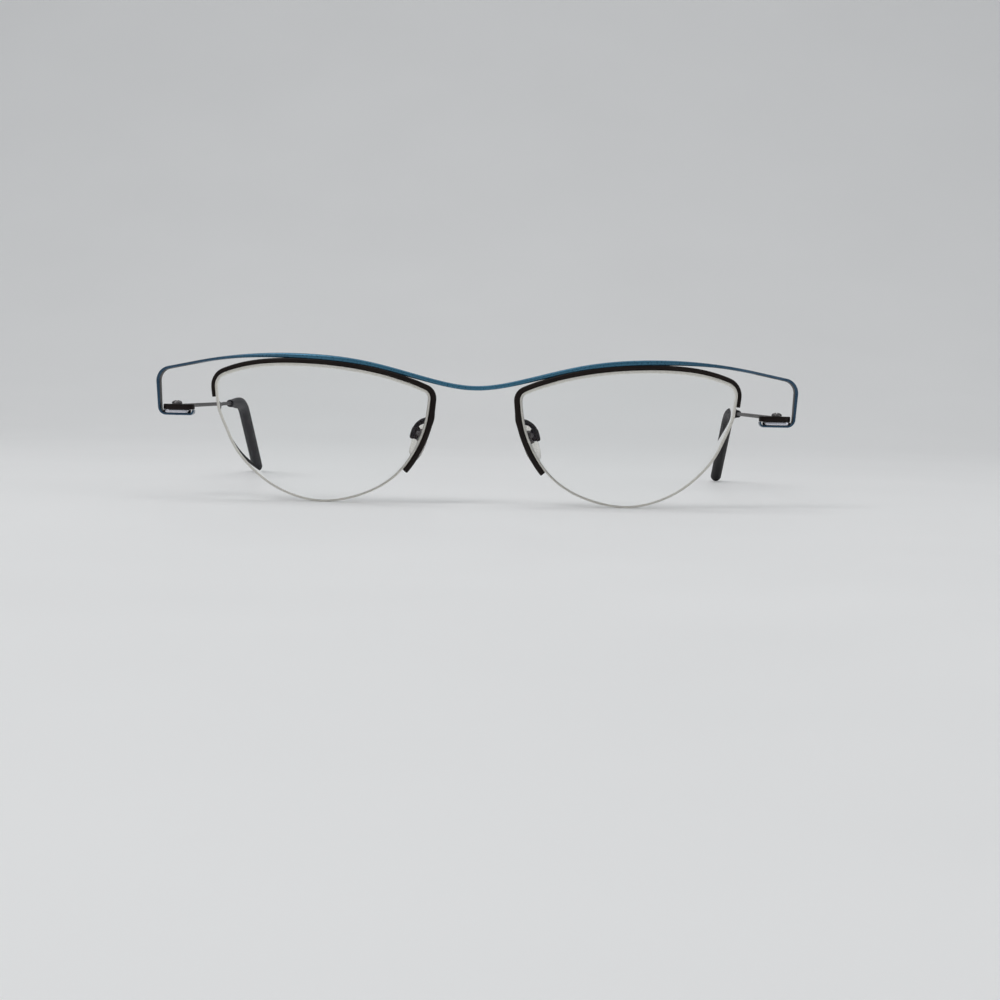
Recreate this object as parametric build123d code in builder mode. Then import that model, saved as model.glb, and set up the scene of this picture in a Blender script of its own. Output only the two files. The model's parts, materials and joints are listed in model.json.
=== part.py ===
from build123d import *
from math import cos, radians, sin
import os

# Semi-rimless wire spectacles, standing on their lenses and temple tips with the temples open.
# +Z is up, the front faces -Y, and the wearer's left is +X. Millimetres.
# One side is drawn, at +X, and mirrored.

# ---- Driving dimensions -----------------------------------------------------------------------

BRIDGE_Z = 25.3  # height of the bridge wire's middle over the surface that the lenses stand on
FRONT_Y = -69.14  # the bridge wire's place along Y, which puts the middle of the whole at Y = 0
REACH = 30  # how far a front-view profile is carried either way before it is cut to depth

# Lenses: 47.4 mm wide, 19.1 mm apart, on a base-4 sphere that wraps and tilts them
LENS_THICKNESS = 1.8
LENS_RADIUS = 132 - LENS_THICKNESS / 2  # at mid-thickness
LENS_APEX = (19.25, 0.5, 1.5)  # the sphere's foremost point, from the bridge: it sets wrap and tilt
LENS_TOP = [(9.55, -1.15), (13.8, 0.6), (23.9, 3.25), (37.7, 4.55), (50.1, 3.65), (56.95, 1.3)]
LENS_REST = [
    (56.95, 1.3), (56.65, -2.0), (54.5, -9.9), (48.8, -18.4), (40.1, -23.9), (33.0, -25.3),
    (25.2, -24.0), (17.3, -19.8), (12.9, -14.2), (10.7, -9.1), (9.7, -3.5), (9.55, -1.15),
]
LENS_MIDDLE = (33.0, -9.0)
EDGE_STEPS = 12  # spans of a curve drawn beside a stretch of the lens's edge
OUTSIDE = 1.0  # how far a groove's cutter reaches past the lens's edge
NASAL_CORNER = 2.0
TEMPORAL_CORNER = 3.0
GROOVE_DEPTH = 0.55
GROOVE_WIDTH = 0.56

# Half rims, liners and cords
RIM_WIDTH = 1.08  # in front view, on top
RIM_SHIFT = 0.2  # makes the rim wider by the nose and narrower by the temple
RIM_DEPTH = 1.5
RIM_CHANNEL = 0.38
LINER_WIDTH = 0.5
CORD_SINK = 0.05  # how far the cord lies inside the lens's edge
FIT_GAP = 0.03
OPEN_EDGE = [  # the stretch with no rim: the first and last pairs of points cut the rim's ends square
    (12.9, -19.2), (16.3, -17.1), (30.0, -8.0), (50.0, -2.7), (60.0, -2.7), (60.0, -30.0), (12.9, -30.0),
]

# Brow bar, from the bridge over the rims and out to the hinges
BROW_UPPER = [(0, 0.46), (10.15, 2.05), (23.9, 5.4), (37.6, 6.72), (51.9, 6.15), (66.9, 3.75), (70.95, 2.95)]
BROW_LOWER = [(0, -0.58), (10.15, 0.97), (23.9, 4.2), (37.6, 5.5), (51.9, 5.35), (66.5, 3.05), (70.0, 2.35)]
BROW_ROUTE = [  # the bar's middle from above: x, and distance behind the bridge wire
    (0, 0.1), (12, 0.75), (24, 0.7), (36, 1.65), (48, 3.7), (57, 6.2), (63, 9.6), (67, 11.6), (71.4, 12.1),
]
BROW_WAYS = [(1, 0), (1, -0.2)]  # the bar's direction in front view at the bridge and at its corner
ROUTE_WAYS = [(1, 0), (1, 0.02)]
BROW_HALF_DEPTH = 0.62
SIDE_HALF_DEPTH = 1.5  # where the bar widens to a strip, outside the lenses
SIDE_START = 5  # index in BROW_ROUTE of the first point with the strip's depth
OUTER_CORNER = 3.4
INNER_CORNER = 2.6
RUN_OUTER = [(70.95, 2.95), (70.45, -5.0)]  # the run down to the hinge
RUN_INNER = [(69.6, -5.0), (70.0, 2.35)]

# Hinge stack, its heights measured down from the bridge wire
PIN_X = 66.2
PIN_BACK = 12.0  # the pin's distance behind the bridge wire
LEAF_BOTTOM = -7.35
LEAF_THICKNESS = 0.5
FOOT_OUTER = 70.25  # where the run's outer and inner lines meet the leaf's, before rounding
FOOT_INNER = 69.45
FOOT_OUTER_RADIUS = 2.0
FOOT_INNER_RADIUS = 1.2
LEAF_END = 3.9  # from the pin's axis to the leaf's turned-up inner end
END_RADIUS = 0.9
LEAF_CORNER = 0.9  # in plan
WASHER_THICKNESS = 0.73
WASHER_INNER = 3.1
EYE_THICKNESS = 1.2
STACK_GAP = 0.04
EYE_OUTER = 3.0  # from the pin's axis to the eye plate's outer end
EYE_INNER = 3.9
EYE_DEPTH = 3.4
PIN_RADIUS = 0.7
PIN_FIT = 0.05  # radial clearance of the eye plate on the pin
HEAD_RADIUS = 1.15
HEAD_HEIGHT = 0.8
HEAD_ROUNDING = 0.56
SLOT_WIDTH = 0.3
WIRE_OVERLAP = 0.6  # length of the temple's wire inside the eye plate

# Temples
WIRE_RADIUS = 0.45
SHANK = 90.0  # from the pin to the start of the bend behind the ear
BEND_RADIUS = 20.0
BEND_ANGLE = 32.0
TIP_START = 75.0  # from the pin to the front end of the rubber tip
TIP_RADIUS = 1.5
TIP_FRONT_RADIUS = 1.0
WIRE_END = 10.0  # length of solid rubber past the wire's end

# Nose pads: a pad's own axes are across (towards the face), along (down) and out (towards the nose)
PAD_CENTRE = (12.25, 6.5, -12.0)
PAD_SPLAY = 36.0
PAD_TILT = 20.0
PAD_LENGTH = 9.2
PAD_WIDTH = 5.8
PAD_THICKNESS = 1.5
PAD_ROUNDING = 0.55
PIVOT_STANDOFF = 1.5
PIVOT_RAISE = 1.6
BOX_LENGTH = 2.8
BOX_WIDTH = 1.6
BOX_TOP = 0.35  # from the pivot towards the pad
BOX_BOTTOM = 0.85
BOX_WALL = 0.28
BOX_FLOOR = 0.25
BOX_CORNER = 0.45
TAB_THICKNESS = 0.94
TAB_RADIUS = 0.55
ANCHOR_LENGTH = 3.0
ANCHOR_WIDTH = 2.0
ANCHOR_THICKNESS = 0.5
PAD_SCREW_RADIUS = 0.3
PAD_SCREW_FIT = 0.03
PAD_SCREW_END = 0.1  # how far the screw comes out of the far wall
PAD_HEAD_RADIUS = 0.5
PAD_HEAD_HEIGHT = 0.25
PAD_SLOT_WIDTH = 0.16
PAD_SLOT_DEPTH = 0.12
ARM_RADIUS = 0.48
ARM_ROUTE = [(9.75, 2.2, -6.7), (9.9, 3.8, -6.5), (11.0, 5.4, -6.9)]  # control points from the rim
ARM_LEAD = 0.8  # length of the arm's straight approach to the box
ARM_OVERLAP = 0.3

# ---- Planes and shared shapes ------------------------------------------------------------------

front = Plane(origin=(0, FRONT_Y, BRIDGE_Z), x_dir=(1, 0, 0), z_dir=(0, -1, 0))
hinge_pin = Vector(PIN_X, FRONT_Y + PIN_BACK, 0)
leaf_top = BRIDGE_Z + LEAF_BOTTOM + LEAF_THICKNESS
washer_top = leaf_top + WASHER_THICKNESS
eye_bottom = washer_top + STACK_GAP
eye_top = eye_bottom + EYE_THICKNESS
head_bottom = eye_top + STACK_GAP
wire_z = eye_top - WIRE_RADIUS


def from_bridge(x, back, up):
    """A point given by its distances from the middle of the bridge wire."""
    return Vector(x, FRONT_Y + back, BRIDGE_Z + up)


def stack_plane(height):
    """A horizontal plane through the hinge pin's axis."""
    return Plane(origin=(hinge_pin.X, hinge_pin.Y, height))


with BuildSketch() as lens_edge:
    with BuildLine():
        Spline(*LENS_TOP)
        Spline(*LENS_REST)
    make_face()
    fillet(lens_edge.vertices().sort_by(Axis.X)[0], NASAL_CORNER)
    fillet(lens_edge.vertices().sort_by(Axis.X)[-1], TEMPORAL_CORNER)


def beside(edge, grow, t):
    """The point that lies `grow` outside a stretch of the lens's edge, and the edge's way there."""
    point, way = edge @ t, edge % t
    normal = Vector(way.Y, -way.X)
    if normal.dot(point - Vector(*LENS_MIDDLE)) < 0:
        normal = -normal
    return point + normal * grow, way


def lens_shape(grow=0.0, shift=0.0):
    """Front view of the lens, grown outward, and moved towards the nose."""
    with BuildSketch(Plane(from_bridge(-shift, 0, 0), x_dir=front.x_dir, z_dir=front.z_dir)) as shape:
        with BuildLine():
            for edge in lens_edge.edges():
                if edge.geom_type == GeomType.CIRCLE:
                    ThreePointArc(*[beside(edge, grow, t)[0] for t in (0, 0.5, 1)])
                else:
                    ways = [beside(edge, grow, t)[1] for t in (0, 1)]
                    steps = [i / EDGE_STEPS for i in range(EDGE_STEPS + 1)]
                    Spline(*[beside(edge, grow, t)[0] for t in steps], tangents=ways)
        make_face()
    return shape.sketch


def lens_ball(offset_back):
    """The ball whose front is the lens's curve at this distance behind mid-thickness."""
    with BuildPart() as ball:
        with Locations(from_bridge(LENS_APEX[0], LENS_APEX[1] + LENS_RADIUS, LENS_APEX[2])):
            Sphere(LENS_RADIUS - offset_back)
    return ball.part


def curved_plate(inner, outer, depth):
    """The flat shape `outer`, less `inner`, as a plate of this depth that follows the lens's curve."""
    with BuildPart() as plate:
        extrude(outer, amount=REACH, both=True)
        if inner:
            extrude(inner, amount=REACH, both=True, mode=Mode.SUBTRACT)
        add(lens_ball(-depth / 2), mode=Mode.INTERSECT)
        add(lens_ball(depth / 2), mode=Mode.SUBTRACT)
    return plate.part


with BuildPart() as open_edge:
    with BuildSketch(front):
        with BuildLine():
            Polyline(*OPEN_EDGE, close=True)
        make_face()
    extrude(amount=REACH, both=True)

# ---- Brow bar: one strip with the bridge, the side runs and both hinge leaves ------------------

with BuildPart() as hinge_leaf:
    with BuildSketch(front) as leaf_front:
        with BuildLine():
            floor, end = LEAF_BOTTOM + LEAF_THICKNESS, PIN_X - LEAF_END
            end_top = floor + WASHER_THICKNESS
            Polyline(
                RUN_OUTER[1], (FOOT_OUTER, LEAF_BOTTOM), (end, LEAF_BOTTOM), (end, end_top),
                (end + LEAF_THICKNESS, end_top), (end + LEAF_THICKNESS, floor), (FOOT_INNER, floor),
                RUN_INNER[0], close=True,
            )
        make_face()
        for corner, radius in (
            ((FOOT_OUTER, LEAF_BOTTOM), FOOT_OUTER_RADIUS),
            ((FOOT_INNER, floor), FOOT_INNER_RADIUS),
            ((end, LEAF_BOTTOM), END_RADIUS),
            ((end + LEAF_THICKNESS, floor), END_RADIUS - LEAF_THICKNESS),
        ):
            fillet(leaf_front.vertices().sort_by_distance(corner)[0], radius)
    extrude(amount=REACH, both=True)
    with BuildSketch(stack_plane(BRIDGE_Z)) as leaf_plan:
        with Locations((-LEAF_END, 0)):
            Rectangle(REACH, 2 * SIDE_HALF_DEPTH, align=(Align.MIN, Align.CENTER))
        fillet(leaf_plan.vertices().group_by(Axis.X)[0], LEAF_CORNER)
    extrude(amount=REACH, both=True, mode=Mode.INTERSECT)
    with Locations(stack_plane(leaf_top)):
        Hole(PIN_RADIUS + FIT_GAP / 2)

with BuildPart() as brow_bar:
    with BuildSketch(front) as brow_front:
        with BuildLine():
            Spline(*BROW_UPPER, tangents=BROW_WAYS)
            Line(*RUN_OUTER)
            Line(RUN_OUTER[1], RUN_INNER[0])
            Line(*RUN_INNER)
            Spline(*BROW_LOWER, tangents=BROW_WAYS)
            Line(BROW_LOWER[0], BROW_UPPER[0])
        make_face()
        fillet(brow_front.vertices().sort_by_distance(RUN_OUTER[0])[0], OUTER_CORNER)
        fillet(brow_front.vertices().sort_by_distance(RUN_INNER[1])[0], INNER_CORNER)
    extrude(amount=REACH, both=True)
    with BuildSketch(Plane(origin=(0, FRONT_Y, BRIDGE_Z))):
        with BuildLine():
            depths = [BROW_HALF_DEPTH if i < SIDE_START else SIDE_HALF_DEPTH for i in range(len(BROW_ROUTE))]
            face_edge = [(x, y - d) for (x, y), d in zip(BROW_ROUTE, depths)]
            rear_edge = [(x, y + d) for (x, y), d in zip(BROW_ROUTE, depths)]
            Spline(*face_edge, tangents=ROUTE_WAYS)
            Line(face_edge[-1], rear_edge[-1])
            Spline(*rear_edge, tangents=ROUTE_WAYS)
            Line(rear_edge[0], face_edge[0])
        make_face()
    extrude(amount=REACH, both=True, mode=Mode.INTERSECT)
    add(hinge_leaf.part)
    mirror(about=Plane.YZ)

# ---- Lens, half rim, liner and cord ------------------------------------------------------------

groove_floor = lens_shape(-GROOVE_DEPTH)
strip_inside = lens_shape(FIT_GAP - GROOVE_DEPTH)

with BuildPart() as lens:
    add(curved_plate(None, lens_shape(), LENS_THICKNESS))
    add(curved_plate(groove_floor, lens_shape(OUTSIDE), GROOVE_WIDTH), mode=Mode.SUBTRACT)

with BuildPart() as rim:
    add(curved_plate(lens_shape(FIT_GAP), lens_shape(RIM_WIDTH, RIM_SHIFT), RIM_DEPTH))
    add(curved_plate(groove_floor, lens_shape(RIM_CHANNEL), GROOVE_WIDTH), mode=Mode.SUBTRACT)
    add([open_edge.part, brow_bar.part], mode=Mode.SUBTRACT)

with BuildPart() as rim_liner:
    add(curved_plate(strip_inside, lens_shape(RIM_CHANNEL - FIT_GAP), LINER_WIDTH))
    add(open_edge.part, mode=Mode.SUBTRACT)

with BuildPart() as nylon_cord:
    add(curved_plate(strip_inside, lens_shape(-CORD_SINK), LINER_WIDTH))
    add(open_edge.part, mode=Mode.INTERSECT)

# ---- Nose pad, its box and its arm -------------------------------------------------------------

splay, tilt = radians(PAD_SPLAY), radians(PAD_TILT)
across = Vector(sin(splay), cos(splay), 0)
out = Vector(-cos(tilt) * cos(splay), cos(tilt) * sin(splay), -sin(tilt))
pad_plane = Plane(origin=from_bridge(*PAD_CENTRE), x_dir=across, z_dir=out)
pivot_plane = Plane(
    origin=pad_plane.from_local_coords((0, -PIVOT_RAISE, -PIVOT_STANDOFF)), x_dir=across, z_dir=out
)
# Looks along the screw: its X is down the pad, and its Y is out towards the nose
screw_plane = Plane(origin=pivot_plane.origin, x_dir=pivot_plane.y_dir, z_dir=across)

with BuildPart() as pad_insert:
    with BuildSketch(screw_plane):
        Circle(TAB_RADIUS)
        with Locations((0, PIVOT_STANDOFF / 2)):
            Rectangle(2 * TAB_RADIUS, PIVOT_STANDOFF)
    extrude(amount=TAB_THICKNESS / 2, both=True)
    with BuildSketch(pivot_plane.offset(PIVOT_STANDOFF - ANCHOR_THICKNESS / 2)):
        SlotOverall(ANCHOR_LENGTH, ANCHOR_WIDTH, rotation=90)
    extrude(amount=ANCHOR_THICKNESS)
    with Locations(screw_plane):
        Hole(PAD_SCREW_RADIUS + PAD_SCREW_FIT)

with BuildPart() as nose_pad:
    with BuildSketch(pad_plane.offset(-PAD_THICKNESS / 2)):
        Ellipse(PAD_WIDTH / 2, PAD_LENGTH / 2)
    extrude(amount=PAD_THICKNESS)
    fillet(nose_pad.edges(), PAD_ROUNDING)
    add(pad_insert.part, mode=Mode.SUBTRACT)

with BuildPart() as pad_box:
    with BuildSketch(screw_plane):
        with Locations((0, (BOX_TOP - BOX_BOTTOM) / 2)):
            RectangleRounded(BOX_LENGTH, BOX_TOP + BOX_BOTTOM, BOX_CORNER)
    extrude(amount=BOX_WIDTH / 2, both=True)
    with BuildSketch(screw_plane):
        with Locations((0, BOX_TOP)):
            Rectangle(BOX_LENGTH, 2 * (BOX_TOP + BOX_BOTTOM - BOX_FLOOR))
    extrude(amount=BOX_WIDTH / 2 - BOX_WALL, both=True, mode=Mode.SUBTRACT)
    with Locations(screw_plane):
        Hole(PAD_SCREW_RADIUS + FIT_GAP / 2)

with BuildPart() as pad_screw:
    with BuildSketch(screw_plane.offset(-BOX_WIDTH / 2)):
        Circle(PAD_SCREW_RADIUS)
    extrude(amount=BOX_WIDTH + PAD_SCREW_END)
    with BuildSketch(screw_plane.offset(-BOX_WIDTH / 2)):
        Circle(PAD_HEAD_RADIUS)
    extrude(amount=-PAD_HEAD_HEIGHT)
    with BuildSketch(screw_plane.offset(-BOX_WIDTH / 2 - PAD_HEAD_HEIGHT)):
        Rectangle(2 * PAD_HEAD_RADIUS, PAD_SLOT_WIDTH)
    extrude(amount=PAD_SLOT_DEPTH, mode=Mode.SUBTRACT)

with BuildPart() as pad_arm:
    arm_end = screw_plane.from_local_coords((-BOX_LENGTH / 2 + ARM_OVERLAP, -BOX_BOTTOM / 2, 0))
    arm_lead = screw_plane.from_local_coords((-BOX_LENGTH / 2 - ARM_LEAD, -BOX_BOTTOM / 2, 0))
    with BuildLine() as arm_line:
        Bezier(*[from_bridge(*point) for point in ARM_ROUTE], arm_lead, arm_end)
    with BuildSketch(Plane(origin=arm_line.line @ 0, z_dir=arm_line.line % 0)):
        Circle(ARM_RADIUS)
    sweep()
    add([rim.part, pad_box.part], mode=Mode.SUBTRACT)

# ---- Hinge and temple --------------------------------------------------------------------------

with BuildPart() as hinge_washer:
    with BuildSketch(stack_plane(leaf_top)):
        with Locations(((EYE_OUTER - WASHER_INNER) / 2, 0)):
            SlotOverall(EYE_OUTER + WASHER_INNER, 2 * SIDE_HALF_DEPTH)
        Circle(PIN_RADIUS + FIT_GAP / 2, mode=Mode.SUBTRACT)
    extrude(amount=WASHER_THICKNESS)
    add(brow_bar.part, mode=Mode.SUBTRACT)

with BuildPart() as hinge_screw:
    with BuildSketch(stack_plane(leaf_top - LEAF_THICKNESS)):
        Circle(PIN_RADIUS)
    extrude(amount=head_bottom - leaf_top + LEAF_THICKNESS)
    with BuildSketch(stack_plane(head_bottom)):
        Circle(HEAD_RADIUS)
    extrude(amount=HEAD_HEIGHT)
    fillet(hinge_screw.edges().sort_by(Axis.Z)[-1], HEAD_ROUNDING)
    with BuildSketch(stack_plane(head_bottom + HEAD_HEIGHT)):
        Rectangle(SLOT_WIDTH, 2 * HEAD_RADIUS)
    extrude(amount=-HEAD_HEIGHT / 2, mode=Mode.SUBTRACT)

bend_start = Vector(PIN_X, hinge_pin.Y + SHANK, wire_z)
bend_end = bend_start + Vector(
    0, BEND_RADIUS * sin(radians(BEND_ANGLE)), BEND_RADIUS * (cos(radians(BEND_ANGLE)) - 1)
)
tail_way = Vector(0, cos(radians(BEND_ANGLE)), -sin(radians(BEND_ANGLE)))
tail_end = bend_end + tail_way * ((bend_end.Z - TIP_RADIUS) / sin(radians(BEND_ANGLE)))
half_bend = radians(BEND_ANGLE / 2)
bend_middle = bend_start + Vector(0, BEND_RADIUS * sin(half_bend), BEND_RADIUS * (cos(half_bend) - 1))
bend = ThreePointArc(bend_start, bend_middle, bend_end)


def behind_pin(distance):
    """A plane across the straight part of the temple."""
    return Plane(origin=(PIN_X, hinge_pin.Y + distance, wire_z), x_dir=(1, 0, 0), z_dir=(0, 1, 0))


def temple_wire(radius, start, wire_end):
    """The temple's wire, or its space inside the tip, from `start` behind the pin."""
    with BuildPart() as wire:
        with BuildLine() as route:
            Line((PIN_X, hinge_pin.Y + start, wire_z), bend_start)
            add(bend)
            Line(bend_end, wire_end)
        with BuildSketch(behind_pin(start)):
            Circle(radius)
        sweep(path=route.wires()[0])
    return wire.part


with BuildPart() as temple:
    with BuildSketch(stack_plane(eye_bottom)):
        with Locations(((EYE_OUTER - EYE_INNER) / 2, 0)):
            SlotOverall(EYE_OUTER + EYE_INNER, EYE_DEPTH)
    extrude(amount=EYE_THICKNESS)
    add(temple_wire(WIRE_RADIUS, EYE_DEPTH / 2 - WIRE_OVERLAP, tail_end - tail_way * WIRE_END))
    with Locations(stack_plane(eye_top)):
        Hole(PIN_RADIUS + PIN_FIT)

with BuildPart() as temple_tip:
    with BuildSketch(behind_pin(TIP_START)):
        Circle(TIP_FRONT_RADIUS)
    with BuildSketch(behind_pin(SHANK)) as bend_section:
        Circle(TIP_RADIUS)
    loft()
    sweep(bend_section.sketch, path=bend)
    with BuildSketch(Plane(origin=bend_end, x_dir=(1, 0, 0), z_dir=tail_way)):
        Circle(TIP_RADIUS)
    extrude(amount=(tail_end - bend_end).length)
    with Locations(tail_end):
        Sphere(TIP_RADIUS)
    add(
        temple_wire(WIRE_RADIUS + FIT_GAP / 2, TIP_START - 1, tail_end - tail_way * (WIRE_END - FIT_GAP)),
        mode=Mode.SUBTRACT,
    )

# ---- Files -------------------------------------------------------------------------------------

os.makedirs("parts", exist_ok=True)

brow_bar.part.label = "brow_bar"
export_step(brow_bar.part, "parts/brow_bar.step")

one_side = {
    "rim": rim,
    "rim_liner": rim_liner,
    "lens": lens,
    "nylon_cord": nylon_cord,
    "pad_arm": pad_arm,
    "pad_box": pad_box,
    "pad_screw": pad_screw,
    "pad_insert": pad_insert,
    "nose_pad": nose_pad,
    "hinge_washer": hinge_washer,
    "hinge_screw": hinge_screw,
    "temple": temple,
    "temple_tip": temple_tip,
}

for name, left in one_side.items():
    with BuildPart() as right:
        mirror(left.part, about=Plane.YZ)
    for side, piece in (("left", left), ("right", right)):
        piece.part.label = f"{name}_{side}"
        export_step(piece.part, f"parts/{name}_{side}.step")
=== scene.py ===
"""Looks of the semi-rimless wire spectacles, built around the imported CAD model.

Sizes are in millimetres until a mesh is made. Places are given as (x, back, up) from the middle of the
bridge wire: x to the wearer's left, back towards the face. One side is built, at +X, and mirrored.
"""

import json
from math import comb, cos, pi, radians, sin, tan

import bmesh
import bpy
import numpy as np
from mathutils import Matrix, Vector
from mathutils.geometry import convex_hull_2d


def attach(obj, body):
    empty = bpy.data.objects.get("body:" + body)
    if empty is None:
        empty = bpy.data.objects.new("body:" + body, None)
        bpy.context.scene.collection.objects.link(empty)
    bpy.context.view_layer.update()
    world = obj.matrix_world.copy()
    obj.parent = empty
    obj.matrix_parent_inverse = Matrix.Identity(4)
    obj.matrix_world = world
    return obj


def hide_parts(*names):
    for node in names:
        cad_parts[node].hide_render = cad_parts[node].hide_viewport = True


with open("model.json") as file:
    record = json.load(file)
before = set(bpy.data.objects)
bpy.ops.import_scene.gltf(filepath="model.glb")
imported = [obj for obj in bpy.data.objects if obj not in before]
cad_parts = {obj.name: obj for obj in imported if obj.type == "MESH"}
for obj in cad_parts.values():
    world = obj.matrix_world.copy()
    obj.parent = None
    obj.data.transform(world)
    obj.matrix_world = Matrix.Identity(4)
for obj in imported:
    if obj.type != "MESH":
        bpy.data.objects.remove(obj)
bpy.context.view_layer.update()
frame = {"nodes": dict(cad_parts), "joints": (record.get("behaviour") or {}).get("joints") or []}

MM = 0.001
joints = {joint["name"]: joint for joint in frame["joints"]}
PIN_X, PIN_Y = np.array(joints["temple_left_fold"]["pos_m"][:2]) / MM

# ---- Sizes shared with the CAD model, in mm ----------------------------------------------------

BRIDGE_Z = 25.3
PIN_BACK = 12.0
BRIDGE = np.array([0.0, PIN_Y - PIN_BACK, BRIDGE_Z])
ON_PIN = np.array([PIN_X, PIN_Y, BRIDGE_Z])
X, Y, Z = np.eye(3)

LENS_THICKNESS = 1.8
LENS_RADIUS = 131.1
LENS_APEX = (19.25, 0.5, 1.5)
LENS_MIDDLE = np.array([33.0, -9.0])
RIM_WIDTH = 1.08
RIM_SHIFT = 0.2  # makes the rim wider by the nose and narrower by the temple
RIM_DEPTH = 1.5
RIM_POWER = 3.2
RIM_END_ROUND = 0.12
NASAL_END = (15.3, -17.7)
TEMPORAL_END = (56.6, -2.7)
TOP_EDGE = (37.0, 4.5)
LOW_EDGE = (33.0, -25.0)
FIT_GAP = 0.03
SOLDER_UP = -6.6  # middle of the solder that holds the pad arm
SOLDER_REACH = 1.1
SOLDER_SWELL = 0.16
FROST_WIDTH = 0.55  # the frosted band inside the lens's edge, and what its outer and upper sides add
FROST_OUTER = 0.2
FROST_UPPER = 0.12
LENS_RINGS = 26
LENS_CENTRE_SHARE = 0.03  # size of the innermost ring
EDGE_ROUND = [(0.12, 0.06), (0.04, 0.14), (0.01, 0.26)]  # inset from the edge, and depth below a face
EDGE_INSET = 0.2
GROOVE = [(0.01, 0.28), (0.2, 0.26), (0.5, 0.2), (0.56, 0.0)]  # inset, and distance from mid-thickness
STRIP_HALF = 0.25
STRIP_POWER = 2.4
STRIP_ROUND = 0.05
LINER_DEPTH = 0.08
LINER_HALF_HIGH = 0.4
CORD_DEPTH = 0.3
CORD_HALF_HIGH = 0.25

BROW_FRONT = [  # x, up, half thickness in front view
    (0.0, -0.06, 0.5), (10.15, 1.51, 0.52), (23.9, 4.8, 0.58), (37.6, 6.11, 0.59), (51.9, 5.75, 0.38),
    (66.7, 3.4, 0.33),
]
BROW_ROUTE = [  # x, back, half depth
    (0.0, 0.1, 0.6), (12.0, 0.75, 0.6), (24.0, 0.7, 0.6), (36.0, 1.65, 0.6), (48.0, 3.7, 0.6),
    (57.0, 6.2, 1.46), (63.0, 9.6, 1.46), (66.7, 11.35, 1.46),
]
BROW_CORNER = (70.44, 12.05, 2.66)
RUN_FOOT = (69.82, 12.0, -7.1)
LEAF_CORNER = (62.57, 12.0, -7.1)
LEAF_END = (62.57, 12.0, -6.15)
SIDE_HALF_DEPTH = 1.47
RUN_HALF = 0.42
LEAF_HALF = 0.24
CORNER_RADIUS = 3.0
FOOT_RADIUS = 1.6
END_RADIUS = 0.66
BROW_STEPS = 150
LOOP_SPACING = 0.4  # between the loops of a straight stretch
ROUND_POWER = 2.3  # the section over the lenses
FLAT_POWER = 4.5  # the section of the strip at the sides
FLAT_FROM = 46.0
FLAT_OVER = 12.0
TAPER_LENGTH = 0.9  # at the leaf's end
TAPER = 0.55
DARK_INSIDE_FROM = 60.0  # beyond this x the inner side of the strip has the dark coating
DARK_SHARE = (0.6, 0.9)  # where the inner side starts and ends, as shares of the way round the section

# Hinge stack, its heights from the bridge wire
LEAF_BOTTOM = -7.35
WASHER_BOTTOM = -6.84
WASHER_TOP = -6.12
WASHER_INNER = 3.1
WASHER_BEVEL = 0.16
EYE_BOTTOM = -6.08
EYE_TOP = -4.88
HEAD_BOTTOM = -4.84
HEAD_HEIGHT = 0.8
HEAD_RADIUS = 1.15
HEAD_RIM = 0.2  # height of the head's upright rim
SLOT_HALF = 0.16
SLOT_DEPTH = 0.36
PIN_RADIUS = 0.7
PIN_BEVEL = 0.06
EYE_OUTER = 3.0
EYE_INNER = 3.9
EYE_DEPTH = 3.4
EYE_BEVEL = 0.2

WIRE_RADIUS = 0.45
WIRE_UP = EYE_TOP - WIRE_RADIUS
WIRE_OVERLAP = 0.9  # length of the wire inside the eye plate
WIRE_IN_TIP = 3.0
WELD_LENGTH = 3.0  # over which the wire is flattened beside the eye plate
WELD_SPREAD = 0.5
SHANK = 90.0
BEND_RADIUS = 20.0
BEND_ANGLE = radians(32)
TIP_START = 75.0
TIP_RADIUS = 1.5
TIP_FRONT_RADIUS = 1.0
TIP_SKIN_GAP = 0.015  # keeps the sleeve's skin inside its CAD solid
TIP_FRONT_ROUND = 0.25

PAD_CENTRE = (12.25, 6.5, -12.0)
PAD_SPLAY = radians(36)
PAD_TILT = radians(20)
PAD_LENGTH = 9.2
PAD_WIDTH = 5.8
PAD_THICKNESS = 1.5
PAD_SWELL = 0.06  # how much wider the pad is below than above
PAD_FIT = 0.99  # share of the CAD pad's width that the wider end takes
PAD_SQUARE = (0.92, 0.95)  # powers that fill out the oval's sides and ends
PAD_SHOULDER = 0.86  # share of the oval at which the pad's edge starts to round over
PAD_EDGE_DROP = 0.42
PAD_CROWN = 0.3
PIVOT_STANDOFF = 1.5
PIVOT_RAISE = 1.6
BOX_LENGTH = 2.8
BOX_WIDTH = 1.6
BOX_TOP = 0.35
BOX_BOTTOM = 0.85
BOX_WALL = 0.28
BOX_FLOOR = 0.25
BOX_POWER = 3.4
BOX_BEVEL = 0.14
PAD_SCREW_RADIUS = 0.3
PAD_HEAD_RADIUS = 0.5
PAD_HEAD_HEIGHT = 0.25
PAD_SLOT_HALF = 0.07
PAD_SLOT_FLOOR = -0.14
ARM_RADIUS = 0.48
ARM_ROUTE = [(9.75, 2.2, -6.7), (9.9, 3.8, -6.5), (11.0, 5.4, -6.9)]
ARM_LEAD = 0.8
ARM_OVERLAP = 0.3
SWELL_SHARE = 0.12  # the share of the arm that the solder thickens
FLAT_START = 0.55  # where the arm starts to flatten, as a share of its length
FLAT_LENGTH = 0.4

# ---- Curves and skins --------------------------------------------------------------------------


def place(point):
    """A point given from the bridge wire, in the row frame."""
    return BRIDGE + np.asarray(point, float)


def unit(v):
    v = np.asarray(v, float)
    return v / np.linalg.norm(v, axis=-1, keepdims=True)


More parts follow.
